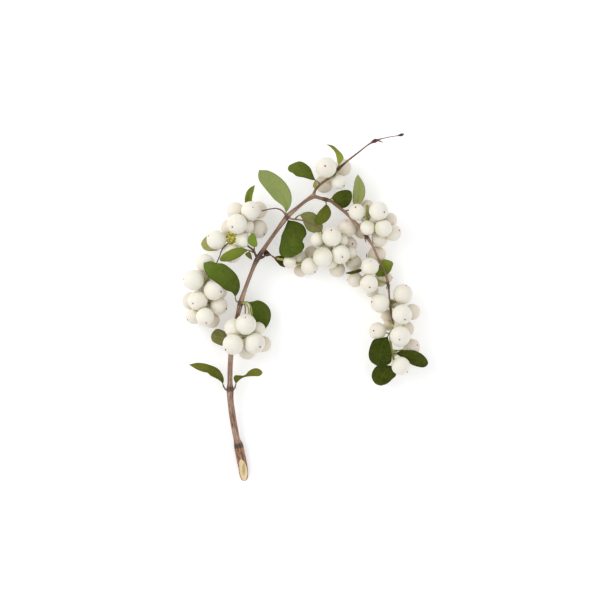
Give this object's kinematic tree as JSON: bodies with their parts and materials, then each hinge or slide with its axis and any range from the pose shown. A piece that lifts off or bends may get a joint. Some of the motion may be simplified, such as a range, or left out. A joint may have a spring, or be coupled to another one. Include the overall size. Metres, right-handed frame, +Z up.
{
  "type": "snowberry branch",
  "caption": "Cut woody twig lying flat, with dense bunches of round white berries and small green oval leaves along its arching stems.",
  "frame": {"origin": "middle of the branch's bounding box, on the surface that it lies on", "axes": "+Z up, away from the surface; +Y from the slanted cut end towards the twig tips; +X to the right as seen from above"},
  "size_m": [0.1607, 0.226, 0.0311],
  "materials": {
    "bark": "matte",
    "berry_skin": "satin",
    "leaf_green": "satin",
    "leaf_underside": "matte"
  },
  "bodies": {
    "root": {"woody_stem": "bark", "berries_a": "berry_skin", "berries_b": "berry_skin", "berries_c": "berry_skin", "berries_d": "berry_skin", "berries_e": "berry_skin", "berries_f": "berry_skin", "berries_g": "berry_skin", "berries_h": "berry_skin", "leaf_01": "leaf_green", "leaf_02": "leaf_green", "leaf_03": "leaf_underside", "leaf_04": "leaf_green", "leaf_05": "leaf_green", "leaf_06": "leaf_underside", "leaf_07": "leaf_green", "leaf_08": "leaf_green", "leaf_09": "leaf_underside", "leaf_10": "leaf_green", "leaf_11": "leaf_underside", "leaf_12": "leaf_green", "leaf_13": "leaf_underside", "leaf_14": "leaf_green", "leaf_15": "leaf_green", "leaf_16": "leaf_underside", "leaf_17": "leaf_green", "leaf_18": "leaf_underside", "leaf_19": "leaf_green", "leaf_20": "leaf_green", "leaf_21": "leaf_green", "leaf_22": "leaf_green", "leaf_23": "leaf_green", "leaf_24": "leaf_green", "leaf_25": "leaf_green", "leaf_26": "leaf_green"}
  },
  "joints": []
}
